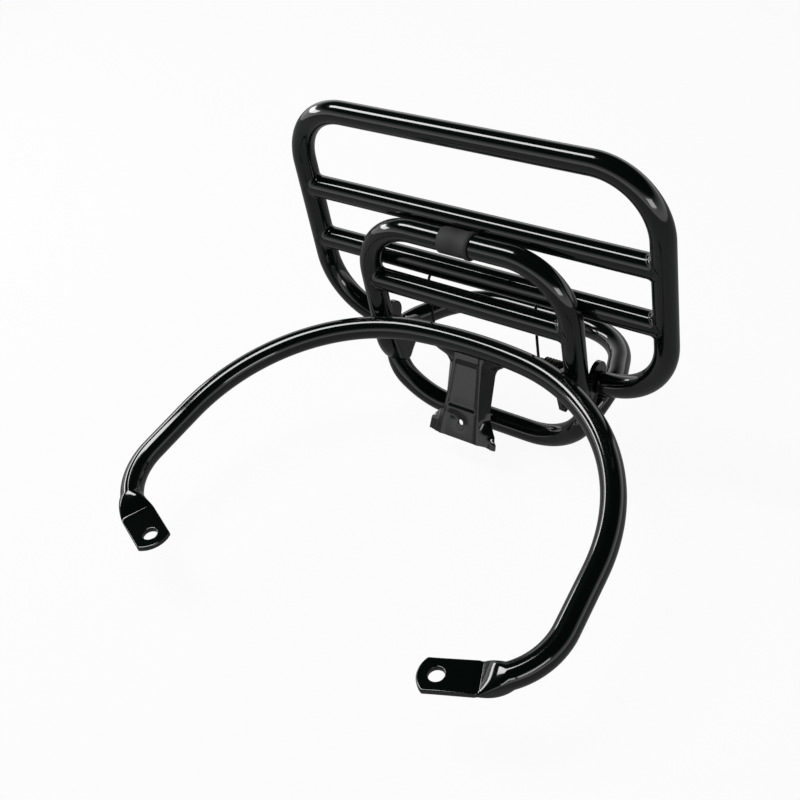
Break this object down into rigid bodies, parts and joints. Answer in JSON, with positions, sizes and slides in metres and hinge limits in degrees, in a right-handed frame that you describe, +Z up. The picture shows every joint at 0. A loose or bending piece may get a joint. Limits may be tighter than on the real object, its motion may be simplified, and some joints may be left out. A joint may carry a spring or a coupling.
{
  "type": "motorcycle luggage rack",
  "caption": "Folding rear luggage rack of bent steel tube: a horseshoe tube with flattened bolt eyes, an upright hoop, a support ring and a sprung fold-down tray.",
  "frame": {"origin": "midway between the two bolt eyes, on the underside of the flattened ends", "axes": "+Z up, +Y to the rear of the motorcycle, +X to the rider's left, which is the right-hand side as seen from the motorcycle looking rearwards; left and right in the node names are as seen that way, and the rack is symmetric across X"},
  "size_m": [0.3942, 0.3773, 0.2706],
  "materials": {
    "painted_tube": "gloss black",
    "painted_sheet": "gloss black",
    "black_rubber": "matte",
    "dark_fastener": "blackened zinc",
    "spring_wire": "oiled black",
    "bush_plastic": "matte"
  },
  "bodies": {
    "frame": {"horseshoe": "painted_tube", "end_plate_left": "painted_tube", "end_plate_right": "painted_tube", "back_hoop": "painted_tube", "hoop_crossbar": "painted_tube", "rubber_sleeve": "black_rubber", "support_ring": "painted_tube", "bracket": "painted_sheet", "gusset_left": "painted_sheet", "gusset_right": "painted_sheet", "hinge_lug_left": "painted_sheet", "hinge_lug_right": "painted_sheet", "hinge_bolt_left": "dark_fastener", "hinge_bolt_right": "dark_fastener", "hinge_nut_left": "dark_fastener", "hinge_nut_right": "dark_fastener", "spring_left": "spring_wire", "spring_right": "spring_wire", "frame_welds": "painted_tube"},
    "tray": {"tray_frame": "painted_tube", "tray_bar_lower": "painted_tube", "tray_bar_upper": "painted_tube", "bushing_left": "bush_plastic", "bushing_right": "bush_plastic", "tray_welds": "painted_tube"}
  },
  "joints": [
    {"name": "tray_fold", "type": "hinge", "parent": "frame", "child": "tray", "pos_m": [0, 0.2706, 0.02191], "axis": [-1, 0, 0], "range_deg": [0, 91], "stiffness_Nm_per_rad": 0.8, "springref_deg": -28.65, "deforming": ["spring_left", "spring_right"]}
  ]
}
